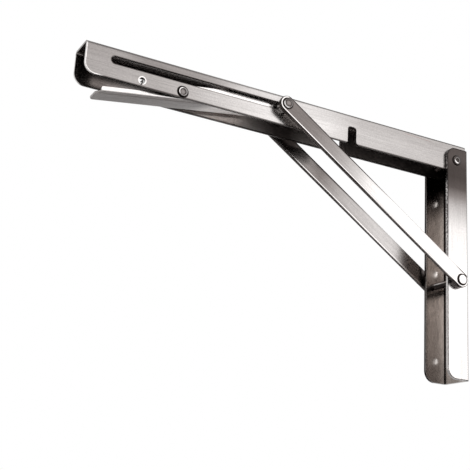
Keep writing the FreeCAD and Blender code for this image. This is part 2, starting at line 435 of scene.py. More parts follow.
@dataclass(frozen=True)
class ArmSteel(SteelFinish):
    """The arm's steel: brushed outside, brown inside and darkened there by painted shade, cut edges painted
    dark as shade.

    The tones of painted reflection and shade run along X. The other fields are its sizes and the painted
    shade and highlight lines along them.
    """

    outer: float = 10.9
    inner: float = 9.4
    tip: float = 300.0
    top: float = 97.75
    foot: float = 75.75
    bend: float = 2.75
    nose_r: float = 7.5
    slot_z: float = 88.75
    slot_half: float = 2.65
    slot_ends: Pair = (158.55, 280.55)
    hook_place: Pair = (261.5, 80.05)
    hook_hole_r: float = 2.0
    rivet_place: Pair = LEVER_PIVOT
    rivet_r: float = 3.7
    # Painted lines: shade beside the slot, shade along the bottom edge turning to a highlight at the tip, a
    # highlight ring round the spring's hook hole, a shadow ring round the lever rivet's head, and shade along
    # the hollow's foot.
    slot_shade: Outline = Outline(0.55, 0.2, 0.1, 0.8)
    edge_shade_and_highlight: Outline = Outline(0.8, 0.25, 0.08, 0.85)
    hook_highlight: Outline = Outline(1.0, 0.4, 1.0)
    rivet_shadow: Outline = Outline(0.55, 0.2, 0.03)
    foot_shade: Outline = Outline(0.9, 0.4, 0.03, 0.85)
    # The cut edges are painted dark as shade, and bright as a painted highlight from these places towards the
    # tip.
    bright_edge_from: Pair = (286.0, 292.0)
    bright_cut_from: Pair = (294.0, 297.0)
    cut_level: float = 0.06
    # A band of painted shade along the upper faces, strongest before the tip.
    upper_rise: Pair = (83.75, 93.75)
    upper_back: Pair = (190.0, 215.0)
    upper_front: Pair = (278.0, 258.0)
    upper_weights: Pair = (0.17, 0.35)
    upper_shade_level: float = 0.15
    rub_depth: float = 4.9
    rub_slope: float = 0.035
    rub_width: Pair = (0.4, 0.1)
    rub_back: Pair = (30.0, 36.0)
    rub_front: Pair = (60.0, 54.0)
    rub_weight: float = 0.5
    rub_colour: Triple = (0.26, 0.17, 0.15)
    hollow_colour: Triple = (1.0, 0.97, 0.95)
    shade_rise: Pair = (81.75, 88.75)
    shade_weight: float = 0.6
    rough_before: Pair = (188.0, 172.0)
    rough_by: float = 0.3
    # Painted reflections and shade along X: first the outer faces, then the hollow.
    face_tones: Stops = (
        (0, 0.43), (50, 0.45), (95, 0.49), (122, 0.66), (165, 0.70), (185, 0.65),
        (205, 0.54), (225, 0.45), (250, 0.39), (268, 0.40), (300, 0.38),
    )
    hollow_tones: Stops = (
        (0, 0.05), (30, 0.12), (60, 0.22), (100, 0.24), (112, 0.3), (130, 0.5),
        (142, 0.16), (152, 0.16), (162, 0.4), (175, 0.75), (188, 1.0), (205, 1.0),
        (222, 0.7), (240, 0.42), (262, 0.42), (282, 0.2), (291, 0.2), (300, 0.6),
    )

    def tone(self, at: Spot) -> Socket:
        """Lay the outer faces over the hollow, and the cut edge over both: painted shade on the cut edge,
        painted highlight near the tip.

        Args:
            at: the place on the arm.

        Returns:
            The tint there.
        """
        g = at.g
        tint = g.mix(on_face(at.out, self.outer), self._hollow(at), self._face(at))
        flange = at.z.step(self.top - self.bend + 0.2, self.top - self.bend - 0.2)
        # painted shade on the cut edges, turning to a painted highlight at the tip
        cut = g.mix(at.x.step(*self.bright_cut_from), shade(self.cut_level), WHITE)
        return g.mix(on_cut(at.out, self.inner, self.outer) * flange, tint, cut)

    def _face(self, at: Spot) -> Socket:
        """The outer faces' painted reflections: grey at the tip, brightest before the braces, with painted
        shade and highlight lines.

        Args:
            at: the place on the arm.

        Returns:
            The tint there.
        """
        g = at.g
        right = at.y.step(0.0, 1.0)
        face = g.run(at.x, self.face_tones)
        # painted shade on the upper band
        weight = at.x.step(*self.upper_back) * at.x.step(*self.upper_front)
        weight = weight * self.upper_weights[1] + self.upper_weights[0]
        face = g.mix(at.z.step(*self.upper_rise) * weight, face, shade(self.upper_shade_level))
        # painted shade line beside the slot
        past = (at.x - self.slot_ends[1]).above(self.slot_ends[0] - at.x).above(0.0)
        line = self.slot_shade.around(past.length(at.z - self.slot_z), self.slot_half)
        face = g.mix(line, face, shade(self.slot_shade.level))
        # painted shade along the bottom edge, painted highlight at the tip
        past = beyond(at.x - (self.tip - self.nose_r), self.foot + self.nose_r - at.z)
        edge = g.mix(at.x.step(*self.bright_edge_from), shade(self.edge_shade_and_highlight.level), WHITE)
        face = g.mix(self.edge_shade_and_highlight.inside(past, self.nose_r), face, edge)
        # painted highlight ring round the hook hole, on the right side only
        line = self.hook_highlight.around(at.far(self.hook_place), self.hook_hole_r)
        face = g.mix(line * right, face, shade(self.hook_highlight.level))
        # painted shadow ring round the lever rivet's head
        line = self.rivet_shadow.around(at.far(self.rivet_place), self.rivet_r)
        face = g.mix(line, face, shade(self.rivet_shadow.level))
        return g.mix(self._rub(at) * right, face, self.rub_colour)

    def _rub(self, at: Spot) -> Value:
        """A faint slanting scratch near the wall, under the top.

        Args:
            at: the place on the arm.

        Returns:
            The scratch's weight there.
        """
        rise = at.z - (self.top - self.rub_depth) - at.x * self.rub_slope
        ends = at.x.step(*self.rub_back) * at.x.step(*self.rub_front)
        return rise.size().step(*self.rub_width) * ends * self.rub_weight

    def _hollow(self, at: Spot) -> Socket:
        """The inner faces, darker from painted shade under the web and along the foot.

        Args:
            at: the place on the arm.

        Returns:
            The tint there.
        """
        g = at.g
        # painted reflections and shade along X
        hollow = g.tinted(g.run(at.x, self.hollow_tones), self.hollow_colour)
        shadow = at.z.step(*self.shade_rise) * self.shade_weight
        hollow = g.mix(shadow, hollow, shade(self.upper_shade_level))
        # painted shade line along the foot
        return g.mix(self.foot_shade.around(at.z, self.foot), hollow, shade(self.foot_shade.level))

    def dullness(self, at: Spot) -> Value:
        """The hollow is rougher behind the lever."""
        return at.out.step(self.outer - 0.2, self.outer - 0.5) * at.x.step(*self.rough_before) * self.rough_by


@dataclass(frozen=True)
class UprightSteel(SteelFinish):
    """The upright's steel: painted shade round the top pivot and in the hollow, painted reflection pale
    below.

    The face and hollow tones of painted reflection and shade run up Z, and the depth tones run out along X.
    """

    outer: float = 13.2
    inner: float = 11.2
    fold_end: float = 3.0
    reach: float = 19.4
    top: float = 93.15
    corner_r: float = 7.0
    bottom: float = -78.45
    foot_r: float = 8.0
    # Painted shade lines: along the top corner, dotted along the foot corner, and along the back edge, darker
    # higher up.
    top_shade: Outline = Outline(0.8, 0.3, 0.02, 0.9)
    top_shade_from: Pair = (0.0, 45.0)
    foot_shade: Outline = Outline(0.85, 0.5, 0.03)
    foot_shade_dots: Patches = Patches(1.1, 0.65, 0.5, 0.4, 2.0)
    back_shade_line: Pair = (1.5, 0.9)
    back_shade_from: Pair = (20.0, 45.0)
    back_shade_levels: Pair = (0.25, 0.03)
    # painted shade in the inner corners along the web
    corner_shade_level: float = 0.03
    hollow_colour: Triple = (1.0, 0.975, 0.95)
    blotches: Patches = Patches(0.5, 0.3, 0.7, 0.3, 4.0, (1.0, 1.0, 2.5))
    blotch_level: float = 0.4
    cut_spots: Patches = Patches(1.1, 0.6, 0.45, 1.0, 2.0)
    cut_spots_from: Pair = (-10.0, 50.0)
    cut_spots_weights: Pair = (0.25, 0.6)
    # The right cut edge is painted pale with random dark spots; the left is painted dark as shade.
    cut_level: float = 0.82
    cut_spot_level: float = 0.05
    left_cut_shade_level: float = 0.03
    polish: float = 0.08
    # Painted reflections and shade: up Z on the outer faces and in the hollow; the depth tones brighten or
    # darken the hollow out along X.
    face_tones: Stops = (
        (-80, 0.97), (0, 0.93), (30, 0.77), (40, 0.57), (48, 0.42), (55, 0.22),
        (62, 0.085), (70, 0.055), (78, 0.055), (86, 0.08), (98, 0.07),
    )
    hollow_tones: Stops = (
        (-80, 0.6), (-55, 0.8), (-20, 0.9), (5, 0.9), (48, 0.8), (57, 0.5),
        (64, 0.4), (70, 0.16), (98, 0.12),
    )
    depth_tones: Stops = ((0, 1.2), (5.5, 1.32), (8, 1.14), (11, 1.05), (19.4, 0.98))

    def tone(self, at: Spot) -> Socket:
        """Lay the outer faces over the hollow, and the cut edge over both; the left cut edge is painted dark
        as shade.

        Args:
            at: the place on the upright.

        Returns:
            The tint there.
        """
        g = at.g
        tint = g.mix(on_face(at.out, self.outer), self._hollow(at), self._face(at))
        least, more = self.cut_spots_weights
        spots = self.cut_spots.spread(at) * (at.z.step(*self.cut_spots_from) * more + least)
        right_cut = g.mix(spots, shade(self.cut_level), shade(self.cut_spot_level))
        # painted shade on the left cut edge
        cut = g.mix(at.y.step(0.0, 1.0), shade(self.left_cut_shade_level), right_cut)
        flange = at.x.step(self.fold_end, self.fold_end + 0.4)
        return g.mix(on_cut(at.out, self.inner, self.outer) * flange, tint, cut)

    def _face(self, at: Spot) -> Socket:
        """The outer faces: painted shade at the top, painted reflection white from a quarter of the way down,
        and painted shade lines at the edges.

        Args:
            at: the place on the upright.

        Returns:
            The tint there.
        """
        g = at.g
        face = g.run(at.z, self.face_tones)
        # painted shade line along the top corner
        past = beyond(at.x - (self.reach - self.corner_r), at.z - (self.top - self.corner_r))
        line = self.top_shade.inside(past, self.corner_r) * at.z.step(*self.top_shade_from)
        face = g.mix(line, face, shade(self.top_shade.level))
        # dotted painted shade line along the foot corner
        past = beyond(at.x - (self.reach - self.foot_r), self.bottom + self.foot_r - at.z)
        dots = self.foot_shade_dots.spread(at) + (1.0 - self.foot_shade_dots.weight)
        line = self.foot_shade.inside(past, self.foot_r) * dots
        face = g.mix(line, face, shade(self.foot_shade.level))
        # painted shade along the back edge
        low, high = self.back_shade_levels
        back = g.mix(at.z.step(*self.back_shade_from), shade(low), shade(high))
        return g.mix(at.x.step(*self.back_shade_line), face, back)

    def _hollow(self, at: Spot) -> Socket:
        """The inner faces: painted shade, black behind the arm, with a painted shade line in the corner along
        the web.

        Args:
            at: the place on the upright.

        Returns:
            The tint there.
        """
        g = at.g
        # painted reflections and shade up Z and out along X
        hollow = g.tinted(g.run(at.z, self.hollow_tones), self.hollow_colour)
        hollow = g.tinted(hollow, g.run(at.x, self.depth_tones))
        corner = at.x.step(self.fold_end + 0.3, self.fold_end - 0.1)
        painted_shade_line = at.out.step(self.inner - 0.7, self.inner - 0.3) * corner
        hollow = g.mix(painted_shade_line, hollow, shade(self.corner_shade_level))
        return g.mix(self.blotches.spread(at), hollow, g.tinted(hollow, shade(self.blotch_level)))

    def dullness(self, at: Spot) -> Value:
        """The flanges' inner faces are smoother, so that they mirror the screw holes."""
        inside = at.out.step(self.inner + 0.3, self.inner)
        return inside * at.x.step(self.fold_end, self.fold_end + 1.0) * -self.polish


@dataclass(frozen=True)
class StrapSteel(SteelFinish):
    """The braces' steel: painted reflection white at the upright and grey at the sliding pin.

    The tones of painted reflection and shade run along the strap from the lower rivet, whose place is the
    foot.
    Its lower edge and its end have a painted highlight rim, and a wider painted shade line marks the rest.
    """

    foot: Pair = FOOT_PIVOT
    along: Pair = STRAP_ALONG
    run_length: float = 177.4
    half: float = 5.65
    near: float = 15.15
    pin_head_r: float = 3.8
    foot_head_r: float = 4.05
    # Painted lines: a shade line and a highlight rim inside the lower edge and the end, a shade line along
    # the outline, shadow rings round the two heads, and shade on the lower side face.
    painted_shade_line: Outline = Outline(1.65, 0.2, 0.1, 0.5)
    rim_highlight: Outline = Outline(1.35, 0.2, 1.0, 0.9)
    line: Outline = Outline(0.65, 0.2, 0.03)
    line_gain: float = 0.5
    line_weights: Pair = (0.15, 0.85)
    strong_after: Pair = (60.0, 110.0)
    strong_before: Pair = (12.0, 4.0)
    lower_rise: Pair = (3.0, 1.0)
    lower_over: Pair = (1.0, 3.0)
    pin_shadow: Outline = Outline(0.5, 0.2, 0.04, 0.85)
    foot_shade: Outline = Outline(0.4, 0.15, 0.04)
    underside_shade: Outline = Outline(0.06, 0.04, 0.1)
    underside_rise: Pair = (1.0, -1.0)
    # the right brace's inner face is painted lighter than the left
    right_inner_light_level: float = 0.55
    # Painted reflections and shade along the strap: the outer faces, then the inner faces.
    face_tones: Stops = (
        (-6, 0.94), (80, 0.9), (98, 0.74), (108, 0.56), (120, 0.41), (130, 0.33),
        (140, 0.27), (150, 0.21), (160, 0.19), (184, 0.17),
    )
    inner_tones: Stops = (
        (-6, 0.06), (6, 0.09), (12, 0.3), (30, 0.34), (40, 0.6), (60, 0.56),
        (80, 0.47), (100, 0.39), (120, 0.2), (142, 0.28), (150, 0.09), (184, 0.05),
    )

    def tone(self, at: Spot) -> Socket:
        """Painted light and shade along the strap, with a painted highlight rim inside a painted shade line
        at its outline, and painted shadow rings round the heads.

        Args:
            at: the place on the strap.

        Returns:
            The tint there.
        """
        g = at.g
        east, up = at.x - self.foot[0], at.z - self.foot[1]
        run = east * self.along[0] + up * self.along[1]
        rise = up * self.along[0] - east * self.along[1]
        # painted shade on the inner faces, lighter on the right
        inner = g.mix(at.y.step(0.0, 1.0), g.run(run, self.inner_tones), shade(self.right_inner_light_level))
        outside = at.out.step(self.near + 0.1, self.near + 0.4)
        tint = g.mix(outside, inner, g.run(run, self.face_tones))
        over = (run - self.run_length).above(-run).above(0.0)
        edge = over.length(rise)
        lower = rise.step(*self.lower_rise).above(over.step(*self.lower_over))
        # painted shade line and highlight rim along the lower edge and the end
        tint = g.mix(self.painted_shade_line.inside(edge, self.half) * lower, tint, shade(self.painted_shade_line.level))
        tint = g.mix(self.rim_highlight.inside(edge, self.half) * lower, tint, shade(self.rim_highlight.level))
        strong = run.step(*self.strong_after).above(run.step(*self.strong_before))
        strong = strong * self.line_weights[1] + self.line_weights[0]
        line = self.line.inside(edge + (1.0 - lower) * self.line_gain, self.half)
        tint = g.mix(line * strong, tint, shade(self.line.level))
        # painted shadow rings round the pin's head and the lower rivet's head
        head = self.pin_shadow.around((run - self.run_length).length(rise), self.pin_head_r)
        tint = g.mix(head, tint, shade(self.pin_shadow.level))
        head = self.foot_shade.around(run.length(rise), self.foot_head_r)
        tint = g.mix(head, tint, shade(self.foot_shade.level))
        # painted shade on the lower side face
        side = self.underside_shade.inside(edge, self.half) * rise.step(*self.underside_rise)
        return g.mix(side, tint, shade(self.underside_shade.level))


@dataclass(frozen=True)
class LeverSteel(SteelFinish):
    """The lever's steel: bright flanges, with a greyer underside and hollow from painted shade.

    The web's painted shade tones run along the lever from its pivot, towards the handle.
    """

    outer: float = 7.6
    pivot: Pair = LEVER_PIVOT
    slope: float = LEVER_SLOPE
    # Painted shade lines along the handle and the fold, painted shade in the hollow and along the web's left
    # edge, and a painted highlight on the web's tail.
    grip_shade: Pair = (-1.15, -0.85)
    grip_from: Pair = (17.0, 20.0)
    grip_weight: float = 0.8
    fold_shade: Pair = (-3.55, -3.95)
    fold_weight: float = 0.6
    shade_line_level: float = 0.15
    hollow_shade_level: float = 0.4
    under: Pair = (-4.65, -4.95)
    left_edge: Pair = (-5.8, -6.4)
    left_edge_level: float = 0.06
    left_edge_weight: float = 0.9
    tail_before: Pair = (222.0, 206.0)
    tail_highlight_level: float = 1.2
    tail_dullness: float = 0.4
    web_tones: Stops = ((-60, 0.5), (-12, 0.36), (0, 0.3), (40, 0.28), (60, 0.32))

    def tone(self, at: Spot) -> Socket:
        """White flanges with painted shade lines, over a web of painted shade whose tail is painted bright.

        Args:
            at: the place on the lever.

        Returns:
            The tint there.
        """
        g = at.g
        east, up = at.x - self.pivot[0], at.z - self.pivot[1]
        rise = up * math.cos(self.slope) + east * math.sin(self.slope)
        run = east * math.cos(self.slope) - up * math.sin(self.slope)
        # painted shade lines along the handle and the fold
        line = rise.step(*self.grip_shade) * run.step(*self.grip_from)
        bright = g.mix(line * self.grip_weight, WHITE, shade(self.shade_line_level))
        fold = rise.step(*self.fold_shade) * self.fold_weight
        bright = g.mix(fold, bright, shade(self.shade_line_level))
        tint = g.mix(on_face(at.out, self.outer), shade(self.hollow_shade_level), bright)
        # painted shade along the web, painted highlight on its tail
        under = g.mix(self._tail(at), g.run(run, self.web_tones), shade(self.tail_highlight_level))
        # painted shade line along the web's left edge
        left = at.y.step(*self.left_edge) * self.left_edge_weight
        under = g.mix(left, under, shade(self.left_edge_level))
        return g.mix(rise.step(*self.under), tint, under)

    def _tail(self, at: Spot) -> Value:
        """1 on the web's tail, which ends slanting to the right."""
        return (at.x + at.y).step(*self.tail_before)

    def dullness(self, at: Spot) -> Value:
        """The web's tail is rougher, so that it takes light from wide about."""
        return self._tail(at) * at.out.step(self.outer - 0.3, self.outer - 0.6) * self.tail_dullness


@dataclass(frozen=True)
class TurnedSteel(SteelFinish):
    """The steel of a pressed head: painted rings of reflection and shade round its middle and one side
    brighter from a painted glint.

    The rings' painted tones run out from the middle, and the glint is a direction (X, Z).
    """

    grain: Grain = Grain.SPUN
    roughness: float = 0.3
    middle: Pair = (0.0, 0.0)
    foot: float = 10.0
    rings: Stops = ((0, 1.0), (4, 1.0))
    glint: Pair = (0.7, -0.7)
    glint_ring: Pair = (2.2, 3.0)
    glint_level: float = 1.0
    glint_rise: Pair = (0.8, 2.0)
    glint_soft: float = 0.25
    # The shank is painted dark as shade, with a painted highlight along its upper front.
    shank_shade_level: float = 0.04
    shank_highlight_level: float = 1.2
    shank_highlight_foot: Pair = (0.23, 0.69)
    shank_highlight_top: Pair = (1.725, 1.265)

    def tone(self, at: Spot) -> Socket:
        """Painted rings of reflection and shade on the head, with a painted highlight crescent towards the
        glint; the shank has painted shade and a painted highlight.

        Args:
            at: the place on the turned piece.

        Returns:
            The tint there.
        """
        g = at.g
        east, up = at.x - self.middle[0], at.z - self.middle[1]
        far = east.length(up)
        # painted highlight crescent
        side = (east * self.glint[0] + up * self.glint[1]).step(*self.glint_rise)
        low, high = self.glint_ring
        crescent = side * far.step(low - self.glint_soft, low) * far.step(high + self.glint_soft, high)
        rings = g.mix(crescent * self.glint_level, g.run(far, self.rings), WHITE)
        # painted highlight along the shank, over painted shade
        shank_highlight = up.step(*self.shank_highlight_foot) * up.step(*self.shank_highlight_top) * east.step(0.0, 0.2)
        shank = g.mix(shank_highlight, shade(self.shank_shade_level), shade(self.shank_highlight_level))
        return g.mix(at.out.step(self.foot - 0.05, self.foot + 0.05), shank, rings)


@dataclass(frozen=True)
class Lamp:
    """A soft box: the way towards it, how far off it is and its size, in metres."""

    name: str
    direction: Triple
    distance: float
    size: Pair
    radiance: float

    def build(self, centre: Triple) -> None:
        """Put the lamp in the scene, aimed at the bracket.

        Args:
            centre: the bracket's middle.
        """
        data = bpy.data.lights.new(self.name, "AREA")
        data.shape = "RECTANGLE"
        data.size, data.size_y = self.size
        data.energy = self.radiance * math.pi * data.size * data.size_y
        lamp = bpy.data.objects.new(self.name, data)
        out = Vector(self.direction).normalized()
        lamp.location = Vector(centre) + out * self.distance
        lamp.rotation_euler = out.to_track_quat("Z", "Y").to_euler()
        bpy.context.scene.collection.objects.link(lamp)


@dataclass(frozen=True)
class Studio:
    """Floor, backdrop, lamps and surroundings; nothing here is part of the bracket."""

    centre: Triple = (0.15, 0.0, 0.02)
    floor_z: float = -0.60
    floor_middle_r: float = 0.3
    wall_distance: float = 1.9
    wall_height: float = 2.4
    sweep_radius: float = 0.7
    sweep_steps: int = 17
    sides: int = 96
    air: float = 0.8
    lamps: tuple[Lamp, ...] = (
        Lamp("key_box", (-0.52, 0.70, 0.40), 1.5, (1.5, 1.3), 0.95),
        Lamp("low_box", (0.5, 0.3, -0.8), 1.3, (0.7, 0.7), 0.5),
    )
    mottle_scale: float = 0.004
    paper_colours: tuple[Triple, Triple] = ((0.92, 0.92, 0.92), (0.88, 0.88, 0.88))
    white_above: Pair = (0.02, 0.5)
    brim_fade: float = 0.3

    def build_bowl(self) -> None:
        """A pale round floor that sweeps up into a wall all round.

        A profile of a floor line, a quarter circle and a wall line is turned
        about a line along Z.
        """
        r = self.sweep_radius
        turn = np.linspace(0.0, math.pi / 2, self.sweep_steps)
        curve = self.wall_distance - r + r * np.sin(turn)
        out = np.concatenate([[self.floor_middle_r], curve, [self.wall_distance]])
        up = np.concatenate([[0.0], r - r * np.cos(turn), [self.wall_height]]) + self.floor_z
        angle = np.linspace(0.0, 2 * math.pi, self.sides, endpoint=False)[None, :]
        x = self.centre[0] + out[:, None] * np.cos(angle)
        y = self.centre[1] + out[:, None] * np.sin(angle)
        rings = np.stack([x, y, up[:, None] + 0.0 * angle], axis=-1)
        points = np.concatenate([rings.reshape(-1, 3), [(*self.centre[:2], self.floor_z)]])
        j = np.arange(self.sides)
        middle = np.stack([np.full(self.sides, len(points) - 1), j, (j + 1) % self.sides], axis=1)
        bowl = solid("studio_bowl", points, grid_faces(len(out), self.sides)[:, ::-1], middle)
        bowl.data.materials.append(self._paper())

    def _paper(self) -> bpy.types.Material:
        """Pale paper, shown white to the eye and in the steel above the floor.

        Returns:
            The finished material.
        """
        material = bpy.data.materials.new("studio_paper")
        material.use_nodes = True
        g = Graph(material.node_tree)
        at = g.spot()
        paper = g.mix(g.noise(at.vector, self.mottle_scale), *self.paper_colours)
        diffuse = g.node("ShaderNodeBsdfDiffuse", {}, {"Color": paper})
        brim = self.floor_z + self.wall_height
        white = g.mix(at.z.step((brim - self.brim_fade) / MM, brim / MM), WHITE, (self.air,) * 3)
        glow = g.node("ShaderNodeEmission", {}, {"Color": white, "Strength": 1.0})
        path = g.node("ShaderNodeLightPath", {}, {}).outputs
        seen = Value(g, path["Is Camera Ray"]) + Value(g, path["Is Glossy Ray"])
        above = at.z.step(*((self.floor_z + height) / MM for height in self.white_above))
        shaders = {0: seen * above, 1: diffuse.outputs[0], 2: glow.outputs[0]}
        both = g.node("ShaderNodeMixShader", {}, shaders)
        g.node("ShaderNodeOutputMaterial", {}, {"Surface": both.outputs[0]})
        return material

    def build_world(self) -> None:
        """Even pale surroundings."""
        world = bpy.data.worlds.new("studio_air")
        bpy.context.scene.world = world
        world.use_nodes = True
        g = Graph(world.node_tree)
        air = g.node("ShaderNodeBackground", {}, {"Color": (*WHITE, 1.0), "Strength": self.air})
        g.node("ShaderNodeOutputWorld", {}, {"Surface": air.outputs[0]})

    def build(self) -> None:
        """Set up the whole studio."""
        self.build_world()
        self.build_bowl()
        for lamp in self.lamps:
            lamp.build(self.centre)


@dataclass(frozen=True)
class Viewpoint:
    """The camera that sees the bracket as the photograph does."""

    place_mm: Triple = (461.25, 545.96, -188.08)
    target_mm: Triple = (150.0, 0.0, 17.75)
    turn: Triple = (0.0235, 0.0466, 0.0477)
    focal_px: float = 984.92
    frame_px: float = 470.0
    sensor_mm: float = 36.0

    def build(self) -> None:
        """Make the camera and give it to the scene.

        It looks from its place to its target, and is then turned about the
        vector turn, whose length is the angle in radians.
        """
        forward = (Vector(self.target_mm) - Vector(self.place_mm)).normalized()
        right = forward.cross(Vector((0, 0, 1))).normalized()
        turn = Vector(self.turn)
        rows = Matrix.Rotation(turn.length, 3, turn) @ Matrix((right, forward.cross(right), forward))
        basis = Matrix((rows[0], -rows[1], -rows[2])).transposed()
        data = bpy.data.cameras.new("viewpoint")
        data.sensor_width = self.sensor_mm
        data.lens = self.focal_px * self.sensor_mm / self.frame_px
        data.clip_start, data.clip_end = 0.01, 50.0
        camera = bpy.data.objects.new("viewpoint", data)
        camera.matrix_world = Matrix.Translation(Vector(self.place_mm) * MM) @ basis.to_4x4()
        bpy.context.scene.collection.objects.link(camera)
        bpy.context.scene.camera = camera


def solid(name: str, points: np.ndarray, faces: np.ndarray, caps: np.ndarray) -> Piece:
    """Make a smooth mesh.

    Args:
        name: the object's name.
        points: its points in metres.
        faces: four point numbers for each face.
        caps: three point numbers for each closing face.

    Returns:
        The new object.
    """
    mesh = bpy.data.meshes.new(name)
    mesh.from_pydata(points, [], faces.tolist() + caps.tolist())
    mesh.polygons.foreach_set("use_smooth", np.ones(len(mesh.polygons), bool))
    mesh.update()
    made = bpy.data.objects.new(name, mesh)
    bpy.context.scene.collection.objects.link(made)
    return made


def grid_faces(rows: int, columns: int) -> np.ndarray:
    """The faces of a grid whose last column joins the first.

    The corners of a cell are (i, j), (i, j + 1), (i + 1, j + 1) and (i + 1, j).

    Args:
        rows: how many rows of points there are.
        columns: how many points a row has.

    Returns:
        An array of four point numbers for each face.
    """
    i = np.arange(rows - 1)[:, None] * columns
    j = np.arange(columns)[None, :]
    after = (j + 1) % columns
    corners = [i + j, i + after, i + columns + after, i + columns + j]
    return np.stack(corners, axis=-1).reshape(-1, 4)


def rounded(corners: np.ndarray, radii: np.ndarray, steps: int = 6) -> np.ndarray:
    """A line through corners, all but its ends rounded.

    Each corner c becomes the curve (1 - t)^2 p + 2 t (1 - t) c + t^2 q, where p and
    q lie on its two legs at its radius from it.

    Args:
        corners: the corners, one to a row.
        radii: the rounding of each inner corner.
        steps: how many points a rounding has.

    Returns:
        The points of the rounded line.
    """
    middle, back, on = corners[1:-1], corners[:-2] - corners[1:-1], corners[2:] - corners[1:-1]
    reach = radii[:, None]
    p = middle + back / np.linalg.norm(back, axis=1, keepdims=True) * reach
    q = middle + on / np.linalg.norm(on, axis=1, keepdims=True) * reach
    t = np.linspace(0.0, 1.0, steps)[None, :, None]
    curve = (1 - t) ** 2 * p[:, None] + 2 * t * (1 - t) * middle[:, None] + t**2 * q[:, None]
    return np.concatenate([corners[:1], curve.reshape(-1, corners.shape[1]), corners[-1:]])


def capped(name: str, rings: np.ndarray, first: np.ndarray, last: np.ndarray) -> Piece:
    """Join rings of points into a tube, closed by a point at each end.

    Args:
        name: the object's name.
        rings: an array (rows, points, 3) in millimetres.
        first: the point that closes the first ring.
        last: the point that closes the last ring.

    Returns:
        The new object.
    """
    rows, count = rings.shape[:2]
    points = np.concatenate([rings.reshape(-1, 3), [first], [last]]) * MM
    j = np.arange(count)
    after = (j + 1) % count
    end = (rows - 1) * count
    start_cap = np.stack([np.full(count, rows * count), after, j], axis=1)
    end_cap = np.stack([np.full(count, rows * count + 1), end + j, end + after], axis=1)
    return solid(name, points, grid_faces(rows, count), np.concatenate([start_cap, end_cap]))


def turned(name: str, place: Pair, outline: np.ndarray, sides: int = 64) -> Piece:
    """Turn an outline about an axis along Y.

    A point (r, y) of the outline becomes the ring (x + r cos a, y, z + r sin a).

    Args:
        name: the object's name.
        place: the axis, as (X, Z) in millimetres.
        outline: (radius, y) points, from the axis at high y to the axis at low y.
        sides: how many points a ring has.

    Returns:
        The new object.
    """
    angle = np.linspace(0.0, 2 * math.pi, sides, endpoint=False)[None, :]
    r, y = outline[1:-1, :1], outline[1:-1, 1:]
    x, z = place[0] + r * np.cos(angle), place[1] + r * np.sin(angle)
    rings = np.stack([x, y + 0.0 * angle, z], axis=-1)
    ends = [np.array([place[0], end, place[1]]) for end in outline[[0, -1], 1]]
    return capped(name, rings, *ends)


def swept(name: str, path: np.ndarray, radius: float, sides: int) -> Piece:
    """Sweep a circle along a path.

    Ring i is path[i] + radius (n cos a + b sin a), where n is a fixed slanting
    direction made square to the path, and b is square to both.

    Args:
        name: the object's name.
        path: the middle line, in millimetres.
        radius: the wire's radius.
        sides: how many points a ring has.

    Returns:
        The new object.
    """
    ahead = np.gradient(path, axis=0)
    ahead /= np.linalg.norm(ahead, axis=1, keepdims=True)
    slant = np.ones(3) / math.sqrt(3.0)
    n = slant - (ahead @ slant)[:, None] * ahead
    n /= np.linalg.norm(n, axis=1, keepdims=True)
    b = np.cross(n, ahead)
    angle = np.linspace(0.0, 2 * math.pi, sides, endpoint=False)[None, :, None]
    rings = path[:, None] + radius * (n[:, None] * np.cos(angle) + b[:, None] * np.sin(angle))
    return capped(name, rings, path[0], path[-1])


def paint(piece: Piece, material: bpy.types.Material) -> None:
    """Put one material on a whole piece and report it.

    Args:
        piece: the piece's object.
        material: what it gets.
    """
    piece.data.materials.clear()
    piece.data.materials.append(material)
    LOG.info("%s wears %s", piece.name, material.name)


@dataclass
class Sheetwork:
    """The folded and cut sheets: upright, arm, braces and lever."""

    nodes: dict[str, Piece]
    upright: SteelFinish = UprightSteel("upright_steel", grain=Grain.ALONG_UPRIGHT)
    arm: SteelFinish = ArmSteel("arm_steel")
    strap: SteelFinish = StrapSteel("strap_steel", grain_turn=math.atan2(STRAP_ALONG[1], STRAP_ALONG[0]))
    lever: SteelFinish = LeverSteel("lever_steel", grain_turn=-LEVER_SLOPE)

    def dress(self) -> None:
        """Give each sheet its steel."""
        for finish, names in (
            (self.upright, ("wall_channel",)),
            (self.arm, ("shelf_arm",)),
            (self.strap, ("brace_left", "brace_right")),
            (self.lever, ("release_lever",)),
        ):
            material = finish.build()
            for name in names:
                paint(self.nodes[name], material)


@dataclass(frozen=True)
class Head:
    """A head turned about Y, as (radius, rise) corners from its foot to its middle."""

    corners: tuple[Pair, ...]
    roundings: tuple[float, ...]

    def profile(self, foot: float) -> np.ndarray:
        """Rounded (radius, out) points from the middle of the head to its foot.

        Args:
            foot: how far out the head's foot lies.

        Returns:
            The points in millimetres, the first on the axis.
        """
        corners = np.array(self.corners) + (0.0, foot)
        return rounded(corners, np.array(self.roundings))[::-1]


DOME = Head(((3.8, 0.0), (3.72, 0.35), (2.9, 0.85), (1.5, 1.15), (0.0, 1.2)), (0.1, 0.45, 0.6))
BIG_DOME = Head(((4.0, 0.0), (3.92, 0.35), (3.0, 0.85), (1.6, 1.15), (0.0, 1.2)), (0.1, 0.45, 0.6))
FLAT = Head(((4.05, 0.0), (4.05, 0.8), (0.0, 0.8)), (0.28,))
HOLLOW = Head(
    ((3.7, 0.0), (3.62, 0.6), (2.9, 1.0), (2.3, 0.95), (1.9, 0.4), (0.7, 0.4), (0.4, 0.55), (0.0, 0.55)),
    (0.2, 0.35, 0.25, 0.2, 0.15, 0.1),
)


